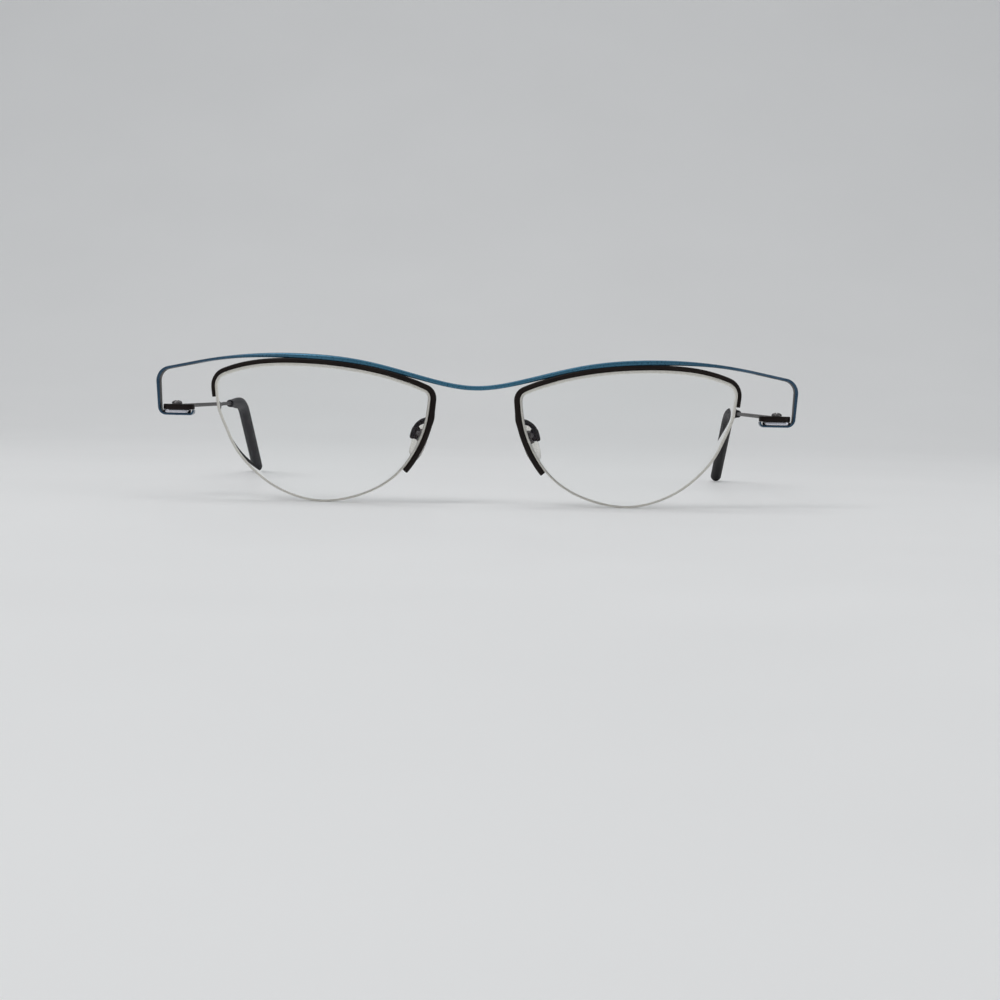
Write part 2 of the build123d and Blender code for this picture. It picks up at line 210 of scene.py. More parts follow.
def spline(points, count, closed=False):
    """`count` evenly spaced points on the cubic curve of even curvature through `points`."""
    p = np.asarray(points, float)
    if closed:
        p = np.vstack([p, p[:1]])
    chord = np.linalg.norm(np.diff(p, axis=0), axis=1)
    t = np.concatenate([[0.0], np.cumsum(chord)])
    n = len(p) - 1
    a, b = np.zeros((n + 1, n + 1)), np.zeros((n + 1, p.shape[1]))
    slope = np.diff(p, axis=0) / chord[:, None]
    for i in range(1, n):
        a[i, i - 1:i + 2] = chord[i - 1], 2 * (chord[i - 1] + chord[i]), chord[i]
        b[i] = 6 * (slope[i] - slope[i - 1])
    if closed:
        a[0, 0], a[0, n] = 1, -1
        a[n, 0], a[n, 1] = 2 * chord[0], chord[0]
        a[n, n - 1], a[n, n] = chord[-1], 2 * chord[-1]
        b[n] = 6 * (slope[0] - slope[-1])
    else:
        a[0, 0] = a[n, n] = 1
    m = np.linalg.solve(a, b)

    def at(s):
        k = np.clip(np.searchsorted(t, s, side="right") - 1, 0, n - 1)
        h, u, v = chord[k][:, None], (s - t[k])[:, None], (t[k + 1] - s)[:, None]
        return (m[k] * v**3 + m[k + 1] * u**3) / (6 * h) + (p[k] / h - m[k] * h / 6) * v + (
            p[k + 1] / h - m[k + 1] * h / 6) * u

    fine = np.linspace(0, t[-1], 40 * n + 1)
    steps = np.linalg.norm(np.diff(at(fine), axis=0), axis=1)
    length = np.concatenate([[0.0], np.cumsum(steps)])
    ends = np.linspace(0, length[-1], count, endpoint=not closed)
    return at(np.interp(ends, length, fine))


def bezier(points, count):
    """Points on the Bezier curve with these control points."""
    points, t = np.asarray(points), np.linspace(0, 1, count)[:, None]
    n = len(points) - 1
    return sum(comb(n, i) * t**i * (1 - t) ** (n - i) * points[i] for i in range(n + 1))


def corner(before, at, after, radius, steps=10):
    """The arc that rounds the corner `at` between two straight runs."""
    at = np.asarray(at, float)
    a, b = unit(np.asarray(before) - at), unit(np.asarray(after) - at)
    half = np.arccos(np.clip(a @ b, -1, 1)) / 2
    reach = radius / tan(half)
    centre = at + unit(a + b) * radius / sin(half)
    start, end = at + a * reach - centre, at + b * reach - centre
    turn = pi - 2 * half
    return [centre + (start * sin(turn * (1 - s)) + end * sin(turn * s)) / sin(turn)
            for s in np.linspace(0, 1, steps)]


def section(half_wide, half_thick, power, count=32):
    """A flattened round: an ellipse at power 2, nearer a rectangle as the power grows."""
    angle = np.arange(count) * 2 * pi / count
    c, s = np.cos(angle), np.sin(angle)
    return np.stack([half_wide * np.sign(c) * np.abs(c) ** (2 / power),
                     half_thick * np.sign(s) * np.abs(s) ** (2 / power)], axis=1)


def swept(line, wide, half_wide, half_thick, power=2.0, round_start=0.0, round_end=0.0):
    """Loops of a bar along `line`; its wide side lies along `wide`. Sizes may vary along it.

    The roundings are the lengths over which an end closes in.
    """
    line = np.asarray(line, float)
    count = len(line)
    way = unit(np.gradient(line, axis=0))
    wide = np.broadcast_to(np.asarray(wide, float), line.shape)
    across = unit(wide - (wide * way).sum(1, keepdims=True) * way)
    thick = np.cross(way, across)
    sizes = [np.broadcast_to(np.asarray(v, float), count) for v in (half_wide, half_thick, power)]
    loops = []
    for i in range(count):
        flat = section(sizes[0][i], sizes[1][i], sizes[2][i])
        loops.append(line[i] + flat[:, :1] * across[i] + flat[:, 1:] * thick[i])

    def rounded(loop, centre, outward, radius):
        size = np.linalg.norm(loop - centre, axis=1).min()
        turns = [pi / 2 * k / 5 for k in range(1, 6)]
        shrink = [1 - 0.98 * radius / size * (1 - cos(q)) for q in turns]
        return [centre + (loop - centre) * k + outward * radius * sin(q) for k, q in zip(shrink, turns)]

    if round_start:
        loops = rounded(loops[0], line[0], -way[0], round_start)[::-1] + loops
    if round_end:
        loops = loops + rounded(loops[-1], line[-1], way[-1], round_end)
    return loops


def outward(outline):
    """The outward normals of a closed flat outline."""
    way = unit(np.roll(outline, -1, 0) - np.roll(outline, 1, 0))
    normal = np.stack([way[:, 1], -way[:, 0]], axis=1)
    area = np.sum(outline[:, 0] * np.roll(outline[:, 1], -1) - outline[:, 1] * np.roll(outline[:, 0], -1))
    return normal if area > 0 else -normal


def slot_outline(low, high, height, count=72):
    """A round-ended slot from x = low to x = high."""
    r = height / 2
    n = count // 2
    right = [(high - r + r * cos(q), r * sin(q)) for q in np.linspace(-pi / 2, pi / 2, n)]
    left = [(low + r + r * cos(q), r * sin(q)) for q in np.linspace(pi / 2, 3 * pi / 2, n)]
    return np.array(right + left)


def slab(outline, origin, u, v, w, low, high, bevel, steps=4):
    """Loops of a plate with this outline in the plane u, v and rounded edges, from low to high along w."""
    normal = outward(outline)
    turns = [pi / 2 * k / steps for k in range(steps + 1)]
    rows = [(bevel * (1 - sin(q)), low + bevel * (1 - cos(q))) for q in turns]
    rows += [(bevel * (1 - cos(q)), high - bevel * (1 - sin(q))) for q in turns]
    loops = []
    for inset, height in rows:
        flat = outline - normal * inset
        loops.append(origin + flat[:, :1] * u + flat[:, 1:] * v + height * w)
    return loops


def lathe(profile, origin, u, v, w, count=48):
    """Loops round the axis w through `origin`; the profile is (radius, height) pairs."""
    angle = np.arange(count) * 2 * pi / count
    ring = np.cos(angle)[:, None] * u + np.sin(angle)[:, None] * v
    return [origin + r * ring + h * w for r, h in profile]


def skin(loops, wrap=False):
    """Points and faces of a skin over loops of equal length."""
    count, rows = len(loops[0]), len(loops)
    faces = []
    for row in range(rows if wrap else rows - 1):
        a, b = row * count, (row + 1) % rows * count
        for i in range(count):
            j = (i + 1) % count
            faces.append((a + i, a + j, b + j, b + i))
    if not wrap:
        faces += [tuple(range(count))[::-1], tuple(range((rows - 1) * count, rows * count))]
    return np.concatenate(loops), faces


def make_object(name, skins, materials, face_material=None, sharp=35.0):
    """An object from one or more skins, in mm, with its normals outward."""
    points, faces = [], []
    for p, f in skins:
        start = sum(len(q) for q in points)
        points.append(p)
        faces += [tuple(i + start for i in face) for face in f]
    mesh = bpy.data.meshes.new(name)
    mesh.from_pydata((np.concatenate(points) * MM).tolist(), [], faces)
    for material in materials:
        mesh.materials.append(material)
    if face_material is not None:
        mesh.polygons.foreach_set("material_index", face_material)
    made = bpy.data.objects.new(name, mesh)
    bpy.context.scene.collection.objects.link(made)
    face_outward(mesh)
    mesh.shade_smooth()
    mesh.set_sharp_from_angle(angle=radians(sharp))
    return made


def face_outward(mesh):
    b = bmesh.new()
    b.from_mesh(mesh)
    bmesh.ops.recalc_face_normals(b, faces=b.faces)
    b.to_mesh(mesh)
    b.free()


def cut(made, cutter_loops):
    """Cuts the skin over `cutter_loops` out of an object."""
    cutter = make_object("cutter", [skin(cutter_loops)], [])
    boolean = made.modifiers.new("cut", "BOOLEAN")
    boolean.operation, boolean.solver, boolean.object = "DIFFERENCE", "EXACT", cutter
    bpy.context.view_layer.update()
    done = bpy.data.meshes.new_from_object(made.evaluated_get(bpy.context.evaluated_depsgraph_get()))
    made.modifiers.clear()
    done.name = made.data.name
    made.data = done
    made.data.shade_smooth()
    made.data.set_sharp_from_angle(angle=radians(30))
    bpy.data.objects.remove(cutter)
    return made


def both_sides(left, name, body):
    """Puts a left-side piece and its mirror image in place of the CAD nodes of that name.

    A body that has sides is named without its side.
    """
    right_mesh = left.data.copy()
    right_mesh.transform(Matrix.Scale(-1, 4, Vector((1, 0, 0))))
    right_mesh.flip_normals()
    right = bpy.data.objects.new(f"{name}_right_look", right_mesh)
    bpy.context.scene.collection.objects.link(right)
    left.name = f"{name}_left_look"
    for side, made in (("left", left), ("right", right)):
        made.data.name = made.name
        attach(made, body if body == "frame" else f"{body}_{side}")
        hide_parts(f"{name}_{side}")


# ---- Materials ---------------------------------------------------------------------------------


class Look:
    """A material under construction: its principled shader and a few ways to vary it."""

    def __init__(self, name, **sockets):
        self.material = bpy.data.materials.new(name)
        self.material.use_nodes = True
        self.nodes, self.links = self.material.node_tree.nodes, self.material.node_tree.links
        self.shader = self.nodes["Principled BSDF"]
        self.place = self.nodes.new("ShaderNodeTexCoord").outputs["Object"]
        for socket, value in sockets.items():
            self.shader.inputs[socket.replace("_", " ")].default_value = value

    def noise(self, scale, detail=3.0, stretch=(1, 1, 1)):
        """Noise with features of about 1/scale metres, longer along the axes with a small stretch."""
        mapping = self.nodes.new("ShaderNodeMapping")
        mapping.inputs["Scale"].default_value = stretch
        self.links.new(self.place, mapping.inputs["Vector"])
        noise = self.nodes.new("ShaderNodeTexNoise")
        noise.inputs["Scale"].default_value = scale
        noise.inputs["Detail"].default_value = detail
        self.links.new(mapping.outputs["Vector"], noise.inputs["Vector"])
        return noise.outputs["Fac"]

    def spread(self, value, low, high, start=0.3, end=0.7):
        """Maps noise to a range of numbers."""
        node = self.nodes.new("ShaderNodeMapRange")
        for socket, number in (("From Min", start), ("From Max", end), ("To Min", low), ("To Max", high)):
            node.inputs[socket].default_value = number
        self.links.new(value, node.inputs["Value"])
        return node.outputs["Result"]

    def colours(self, value, *stops):
        """Maps a number to colours at (place, colour) stops."""
        ramp = self.nodes.new("ShaderNodeValToRGB")
        elements = ramp.color_ramp.elements
        while len(elements) < len(stops):
            elements.new(0.5)
        for element, (at, colour) in zip(elements, stops):
            element.position, element.color = at, (*colour, 1)
        self.links.new(value, ramp.inputs["Fac"])
        return ramp.outputs["Color"]

    def from_middle(self):
        """The distance from the plane x = 0, in metres."""
        split = self.nodes.new("ShaderNodeSeparateXYZ")
        self.links.new(self.place, split.inputs["Vector"])
        size = self.nodes.new("ShaderNodeMath")
        size.operation = "ABSOLUTE"
        self.links.new(split.outputs["X"], size.inputs[0])
        return size.outputs["Value"]

    def mixed(self, share, first, second):
        node = self.nodes.new("ShaderNodeMix")
        node.data_type = "RGBA"
        for socket, value in ((0, share), (6, first), (7, second)):
            self.links.new(value, node.inputs[socket])
        return node.outputs[2]

    def bump(self, value, strength, distance):
        node = self.nodes.new("ShaderNodeBump")
        node.inputs["Strength"].default_value = strength
        node.inputs["Distance"].default_value = distance
        self.links.new(value, node.inputs["Height"])
        self.links.new(node.outputs["Normal"], self.shader.inputs["Normal"])

    def feed(self, socket, value):
        self.links.new(value, self.shader.inputs[socket])


def blue_lacquer():
    """Blue over the lenses, with painted shade that darkens it to navy at the sides."""
    look = Look("blue_lacquer", Metallic=0.6, Coat_Weight=0.3, Coat_Roughness=0.2)
    drift = look.noise(70, 2)
    bright = look.colours(drift, (0.3, (0.024, 0.12, 0.2)), (0.7, (0.034, 0.15, 0.24)))
    # deep: the same blues darkened as painted shade. The mix below paints this shade onto the strip from 36
    # mm out from the middle, and it is full from 60 mm.
    deep = look.colours(drift, (0.3, (0.018, 0.055, 0.1)), (0.7, (0.024, 0.07, 0.125)))
    look.feed("Base Color", look.mixed(look.spread(look.from_middle(), 0, 1, 0.036, 0.06), bright, deep))
    look.feed("Roughness", look.spread(look.noise(2600, 4), 0.24, 0.36))
    look.bump(look.noise(4200, 2), 0.12, 0.00002)
    return look.material


def dark_coating():
    """Brown-black, close to matt, on rims, arms and temples."""
    look = Look("brown_black_coating", Metallic=0.0, Specular_IOR_Level=0.14)
    drift = look.noise(140, 3)
    dark, light = (0.0075, 0.0045, 0.004), (0.014, 0.009, 0.0075)
    look.feed("Base Color", look.colours(drift, (0.3, dark), (0.7, light)))
    look.feed("Roughness", look.spread(look.noise(3200, 4), 0.3, 0.46))
    look.bump(look.noise(5200, 3), 0.2, 0.00002)
    return look.material


def bright_steel():
    """Bare metal with a fine grain across the washer."""
    look = Look("bright_steel", Metallic=1.0)
    grain = look.noise(2400, 4, (0.08, 1, 1))
    look.feed("Base Color", look.colours(grain, (0.35, (0.6, 0.6, 0.66)), (0.65, (0.74, 0.74, 0.8))))
    look.feed("Roughness", look.spread(grain, 0.2, 0.36))
    look.bump(grain, 0.15, 0.00001)
    return look.material


def dark_nickel():
    """Screws and the pads' metal inserts."""
    look = Look("dark_nickel", Metallic=0.9)
    grain = look.noise(2800, 4)
    look.feed("Base Color", look.colours(grain, (0.3, (0.13, 0.12, 0.12)), (0.7, (0.2, 0.19, 0.19))))
    look.feed("Roughness", look.spread(grain, 0.25, 0.42))
    look.bump(look.noise(5000, 2), 0.1, 0.00001)
    return look.material


def clear_lens():
    """Clear faces with an anti-reflection coating, which the weak tint of the reflection stands for."""
    look = Look("clear_lens", IOR=1.5, Transmission_Weight=1.0, Base_Color=(0.985, 0.992, 0.99, 1),
                Specular_Tint=(0.17, 0.16, 0.2, 1))
    look.feed("Roughness", look.spread(look.noise(45, 3), 0.0, 0.012, 0.55, 0.8))
    return look.material


def lens_edge():
    """The ground edge, pale and rough."""
    look = Look("frosted_lens_edge", IOR=1.5, Transmission_Weight=0.35)
    grain = look.noise(3600, 3)
    look.feed("Base Color", look.colours(grain, (0.3, (0.7, 0.68, 0.62)), (0.7, (0.86, 0.84, 0.79))))
    look.feed("Roughness", look.spread(grain, 0.35, 0.55))
    look.bump(grain, 0.25, 0.00003)
    return look.material


def nylon():
    """Pale, cloudy liner and cord."""
    look = Look("nylon", IOR=1.53, Transmission_Weight=0.4)
    grain = look.noise(900, 3)
    look.feed("Base Color", look.colours(grain, (0.3, (0.6, 0.55, 0.46)), (0.7, (0.72, 0.68, 0.6))))
    look.feed("Roughness", look.spread(grain, 0.25, 0.4))
    return look.material


def clear_silicone():
    """Soft, slightly hazy pads."""
    look = Look("clear_silicone", IOR=1.41, Transmission_Weight=0.94, Subsurface_Weight=0.05,
                Subsurface_Scale=0.001)
    haze = look.noise(350, 3)
    look.feed("Base Color", look.colours(haze, (0.3, (0.86, 0.83, 0.77)), (0.7, (0.94, 0.92, 0.88))))
    look.feed("Roughness", look.spread(haze, 0.14, 0.3))
    look.bump(look.noise(1800, 2), 0.12, 0.00003)
    return look.material


def black_rubber():
    """Matt sleeves."""
    look = Look("black_rubber", Specular_IOR_Level=0.2)
    grain = look.noise(5200, 4)
    dark, light = (0.006, 0.006, 0.0065), (0.013, 0.013, 0.0135)
    look.feed("Base Color", look.colours(look.noise(260, 3), (0.3, dark), (0.7, light)))
    look.feed("Roughness", look.spread(grain, 0.46, 0.66))
    look.bump(grain, 0.3, 0.00003)
    return look.material


BLUE, DARK, STEEL, NICKEL = blue_lacquer(), dark_coating(), bright_steel(), dark_nickel()
GLASS, EDGE, NYLON, SILICONE, RUBBER = clear_lens(), lens_edge(), nylon(), clear_silicone(), black_rubber()

# ---- Brow bar ----------------------------------------------------------------------------------


def mirrored(table):
    """A table of points over x, continued to the other side."""
    table = np.array(table)
    return np.vstack([table[:0:-1] * (-1, 1, 1), table])


def brow_line():
    """The strip's middle line from the bridge to the leaf's end, and its half depth and half thickness."""
    front, route = [spline(mirrored(table), 400) for table in (BROW_FRONT, BROW_ROUTE)]
    x = np.linspace(0, BROW_FRONT[-1][0], BROW_STEPS)
    up, half_thick = [np.interp(x, front[:, 0], front[:, k]) for k in (1, 2)]
    back, half_deep = [np.interp(x, route[:, 0], route[:, k]) for k in (1, 2)]
    line, deep, thick = [place(p) for p in zip(x, back, up)], list(half_deep), list(half_thick)
    outer, foot, turn, end = [place(p) for p in (BROW_CORNER, RUN_FOOT, LEAF_CORNER, LEAF_END)]
    bends = [
        (corner(line[-1], outer, foot, CORNER_RADIUS, 16), RUN_HALF),
        (corner(outer, foot, turn, FOOT_RADIUS, 14), LEAF_HALF),
        (corner(foot, turn, end, END_RADIUS, 10) + [end], LEAF_HALF),
    ]
    for bend, half in bends:
        gap = bend[0] - line[-1]
        pieces = max(int(np.linalg.norm(gap) / LOOP_SPACING), 2)
        added = [line[-1] + gap * k for k in np.linspace(0, 1, pieces + 1)[1:-1]] + bend
        thick += list(np.linspace(thick[-1], half, len(added) + 1)[1:])
        deep += [SIDE_HALF_DEPTH] * len(added)
        line += added
    line, deep, thick = np.array(line), np.array(deep), np.array(thick)
    steps = np.linalg.norm(np.diff(line, axis=0), axis=1)
    from_end = np.append(np.cumsum(steps[::-1])[::-1], 0)
    return line, deep - TAPER * (1 - np.clip(from_end / TAPER_LENGTH, 0, 1)) ** 2, thick


def brow_bar():
    """One strip: the bridge, the stretch over the rims, the side run, the vertical run and the leaf."""
    line, deep, thick = brow_line()
    power = ROUND_POWER + (FLAT_POWER - ROUND_POWER) * np.clip((line[:, 0] - FLAT_FROM) / FLAT_OVER, 0, 1)
    whole = np.vstack([line[:0:-1] * (-1, 1, 1), line])
    sizes = [np.concatenate([v[:0:-1], v]) for v in (deep, thick, power)]
    loops = swept(whole, Y, *sizes)
    points, faces = skin(loops)
    count = len(loops[0])
    kinds = []
    for row in range(len(loops) - 1):
        at_side = abs(whole[row, 0]) > DARK_INSIDE_FROM
        kinds += [int(at_side and DARK_SHARE[0] < i / count < DARK_SHARE[1]) for i in range(count)]
    made = make_object("brow_bar_look", [(points, faces)], [BLUE, DARK], kinds + [1, 1])
    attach(made, "frame")
    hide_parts("brow_bar")


# ---- Lens, rim, liner and cord -----------------------------------------------------------------


def lens_outline(count=288):
    """The lens's edge in front view, read off the CAD lens: x and up from the bridge."""
    flat = [(v.co.x / MM, v.co.z / MM - BRIDGE_Z) for v in frame["nodes"]["lens_left"].data.vertices]
    hull = np.array([flat[i] for i in convex_hull_2d(flat)])
    gaps = np.linalg.norm(hull - np.roll(hull, 1, 0), axis=1)
    return spline(hull[gaps > 0.15], count, closed=True)


def on_lens(flat, behind):
    """Points of the lens's curve, `behind` its mid-thickness, over the front-view points `flat`."""
    x, up = flat[:, 0] - LENS_APEX[0], flat[:, 1] - LENS_APEX[2]
    radius = LENS_RADIUS - behind
    back = LENS_APEX[1] + LENS_RADIUS - np.sqrt(radius**2 - x**2 - up**2)
    return BRIDGE + np.stack([flat[:, 0], back, flat[:, 1]], axis=1)


edge = lens_outline()
edge_out = outward(edge)


def nearest(point):
    """The index of the edge's point nearest to this one."""
    return int(np.argmin(np.linalg.norm(edge - np.array(point), axis=1)))


def stretch(start, end, passing):
    """Indices along the lens's edge from start to end by way of the index `passing`."""
    count = len(edge)
    forward = [(start + i) % count for i in range((end - start) % count + 1)]
    backward = [(start - i) % count for i in range((start - end) % count + 1)]
    return forward if passing in forward else backward


nasal, temporal = nearest(NASAL_END), nearest(TEMPORAL_END)
over_top = stretch(nasal, temporal, nearest(TOP_EDGE))
under = stretch(nasal, temporal, nearest(LOW_EDGE))


def lens():
    """Polished faces inside a frosted edge with a groove round it."""
    half = LENS_THICKNESS / 2
    inner = edge - edge_out * (FROST_WIDTH + FROST_OUTER * edge_out[:, :1] + FROST_UPPER * edge_out[:, 1:])
    back = edge - edge_out * EDGE_INSET
    shares = np.linspace(LENS_CENTRE_SHARE, 1, LENS_RINGS)
    rows = [(LENS_MIDDLE + (inner - LENS_MIDDLE) * k, -half) for k in shares]
    polished = len(rows) - 1
    profile = [(d, -half + h) for d, h in EDGE_ROUND]
    profile += [(d, -h) for d, h in GROOVE] + [(d, h) for d, h in GROOVE[-2::-1]]
    profile += [(d, half - h) for d, h in EDGE_ROUND[::-1]] + [(EDGE_INSET, half)]
    rows += [(edge - edge_out * d, h) for d, h in profile]
    frosted = len(rows) - 1
    shares = np.linspace(0.985, LENS_CENTRE_SHARE, LENS_RINGS)
    rows += [(LENS_MIDDLE + (back - LENS_MIDDLE) * k, half) for k in shares]
    points, faces = skin([on_lens(flat, behind) for flat, behind in rows])
    count = len(edge)
    kinds = [int(polished <= i // count < frosted) for i in range(len(faces) - 2)] + [0, 0]
    both_sides(make_object("lens", [(points, faces)], [GLASS, EDGE], kinds, 25), "lens", "frame")


def rim():
    """Dark wire round the nose side and the top, wider by the nose, with the pad arm's solder on it."""
    at, out = edge[over_top], edge_out[over_top]
    solder = SOLDER_SWELL * np.exp(-(((at[:, 1] - SOLDER_UP) / SOLDER_REACH) ** 2))
    width = RIM_WIDTH - RIM_SHIFT * out[:, 0] + solder * (out[:, 0] < -0.8)
    line = on_lens(at + out * ((FIT_GAP + width) / 2)[:, None], 0.0)
    made = swept(line, Y, RIM_DEPTH / 2, (width - FIT_GAP) / 2, RIM_POWER, RIM_END_ROUND, RIM_END_ROUND)
    both_sides(make_object("rim", [skin(made)], [DARK]), "rim", "frame")


def strip_in_groove(name, indices, depth, half_high):
    """A liner or cord, its middle `depth` inside the lens's edge."""
    line = on_lens(edge[indices] - edge_out[indices] * depth, 0.0)
    loops = swept(line, Y, STRIP_HALF, half_high, STRIP_POWER, STRIP_ROUND, STRIP_ROUND)
    both_sides(make_object(name, [skin(loops)], [NYLON]), name, "frame")


# ---- Nose pads ---------------------------------------------------------------------------------

across = np.array([sin(PAD_SPLAY), cos(PAD_SPLAY), 0.0])
pad_out = np.array([-cos(PAD_TILT) * cos(PAD_SPLAY), cos(PAD_TILT) * sin(PAD_SPLAY), -sin(PAD_TILT)])
down = np.cross(pad_out, across)
pad_centre = place(PAD_CENTRE)
pivot = pad_centre - PIVOT_STANDOFF * pad_out - PIVOT_RAISE * down


def round_pivot(flat, heights):
    """Copies of a flat shape, given as down the pad and out of it, at these heights along the screw."""
    return [pivot + flat[:, :1] * down + flat[:, 1:] * pad_out + h * across for h in heights]


def nose_pad():
    """A soft oval, a little wider below, crowned towards the nose and thickest behind its tab."""
    angle = np.arange(96) * 2 * pi / 96
    c, s = np.cos(angle), np.sin(angle)
    wide = PAD_WIDTH / 2 * (1 + PAD_SWELL * s) * PAD_FIT / (1 + PAD_SWELL)
    oval = np.stack([wide * np.sign(c) * np.abs(c) ** PAD_SQUARE[0],
                     PAD_LENGTH / 2 * np.sign(s) * np.abs(s) ** PAD_SQUARE[1]], axis=1)
    half = PAD_THICKNESS / 2
    rows = [(k, half - 0.12 - PAD_CROWN * (k - 0.15) ** 2) for k in np.linspace(0.05, PAD_SHOULDER, 9)]
    rows += [(PAD_SHOULDER + (1 - PAD_SHOULDER) * sin(q), (half - PAD_EDGE_DROP) * cos(q))
             for q in np.linspace(0.25, pi - 0.3, 9)]
    rows += [(k, -half + PAD_CROWN * k**2 + 0.02) for k in np.linspace(0.82, 0.05, 9)]
    loops = [pad_centre + k * oval[:, :1] * across + k * oval[:, 1:] * down + h * pad_out for k, h in rows]
    both_sides(make_object("pad", [skin(loops)], [SILICONE]), "nose_pad", "pad")


def pad_box():
    """A folded clip, open towards the pad, with rounded ends."""
    half = BOX_WIDTH / 2
    outline = section(BOX_LENGTH / 2, (BOX_TOP + BOX_BOTTOM) / 2, BOX_POWER, 56)
    outline = outline + (0, (BOX_TOP - BOX_BOTTOM) / 2)
    loops = slab(outline, pivot, down, pad_out, across, -half, half, BOX_BEVEL)
    floor = BOX_FLOOR - BOX_BOTTOM
    room = np.array([(-3, floor), (3, floor), (3, 3), (-3, 3)])
    room = round_pivot(room, (BOX_WALL - half, half - BOX_WALL))
    both_sides(cut(make_object("box", [skin(loops)], [DARK]), room), "pad_box", "frame")


def pad_screw():
    """A pin across the box, with a slotted head on its front side."""
    low, r = -BOX_WIDTH / 2, PAD_SCREW_RADIUS
    head = [(0.05, 1.0), (0.5, 0.97), (0.8, 0.8), (0.97, 0.5), (1.0, 0.1), (0.94, 0.0)]
    profile = [(k * PAD_HEAD_RADIUS, low - h * PAD_HEAD_HEIGHT) for k, h in head]
    profile += [(r, low + 0.01), (r, -low + 0.04), (r - 0.06, -low + 0.1), (0.05, -low + 0.1)]
    made = make_object("screw", [skin(lathe(profile, pivot, down, pad_out, across, 32))], [NICKEL])
    w = PAD_SLOT_HALF
    groove = round_pivot(np.array([(-1, -w), (1, -w), (1, w), (-1, w)]), (low - 0.5, low + PAD_SLOT_FLOOR))
    both_sides(cut(made, groove), "pad_screw", "frame")


def pad_arm():
    """A bent wire from the rim's back to the box, flattened where it joins the box."""
    reaches = (BOX_LENGTH / 2 + ARM_LEAD, BOX_LENGTH / 2 - ARM_OVERLAP)
    ends = [pivot - reach * down - BOX_BOTTOM / 2 * pad_out for reach in reaches]
    line = bezier([place(p) for p in ARM_ROUTE] + ends, 60)
    t = np.linspace(0, 1, len(line))
    swell = np.exp(-((t / SWELL_SHARE) ** 2))
    flat = np.clip((t - FLAT_START) / FLAT_LENGTH, 0, 1)
    half_wide = ARM_RADIUS + 0.2 * swell + 0.16 * flat
    half_thick = ARM_RADIUS + 0.12 * swell - 0.06 * flat
    loops = swept(line, across, half_wide, half_thick, 2.2 + 0.8 * flat, 0.2, 0.15)
    both_sides(make_object("arm", [skin(loops)], [DARK]), "pad_arm", "frame")


# ---- Hinges and temples ------------------------------------------------------------------------


def washer():
    """The bright plate between the leaf and the eye plate."""
    outline = slot_outline(-WASHER_INNER, EYE_OUTER, 2 * SIDE_HALF_DEPTH)
    loops = slab(outline, ON_PIN, X, Y, Z, WASHER_BOTTOM, WASHER_TOP, WASHER_BEVEL)
    both_sides(make_object("washer", [skin(loops)], [STEEL]), "hinge_washer", "frame")


def hinge_screw():
    """A domed, slotted head on a plain pin through the stack."""
    rim_top, top = HEAD_BOTTOM + HEAD_RIM, HEAD_BOTTOM + HEAD_HEIGHT
    dome = [(HEAD_RADIUS * sin(q), rim_top + (HEAD_HEIGHT - HEAD_RIM) * cos(q))
            for q in np.linspace(0.03, pi / 2, 12)]
    shank = [(HEAD_RADIUS, HEAD_BOTTOM + 0.04), (HEAD_RADIUS - 0.05, HEAD_BOTTOM),
             (PIN_RADIUS, HEAD_BOTTOM - 0.01), (PIN_RADIUS, LEAF_BOTTOM + 0.05),
             (PIN_RADIUS - PIN_BEVEL, LEAF_BOTTOM), (0.05, LEAF_BOTTOM)]
    made = make_object("screw", [skin(lathe(dome + shank, ON_PIN, X, Y, Z))], [NICKEL])
    w = SLOT_HALF
    groove = np.array([(-w, -2), (w, -2), (w, 2), (-w, 2)])
    groove = [ON_PIN + groove[:, :1] * X + groove[:, 1:] * Y + h * Z for h in (top - SLOT_DEPTH, top + 1)]
    both_sides(cut(made, groove), "hinge_screw", "frame")


def temple():
    """The eye plate, and the wire back to the tip."""
    outline = slot_outline(-EYE_INNER, EYE_OUTER, EYE_DEPTH)
    plate = slab(outline, ON_PIN, X, Y, Z, EYE_BOTTOM, EYE_TOP, EYE_BEVEL)
    start = ON_PIN + (0, EYE_DEPTH / 2 - WIRE_OVERLAP, WIRE_UP)
    end = place((PIN_X, PIN_BACK + TIP_START + WIRE_IN_TIP, WIRE_UP))
    wire = spline([start, start + (0, SHANK / 2, 0), end], 90)
    flat = np.exp(-(((wire[:, 1] - start[1]) / WELD_LENGTH) ** 2))
    loops = swept(wire, X, WIRE_RADIUS + WELD_SPREAD * flat, WIRE_RADIUS - 0.03 * flat, 2.0 + flat, 0.1, 0.1)
    made = make_object("temple", [skin(plate), skin(loops)], [DARK])
    both_sides(made, "temple", "temple")


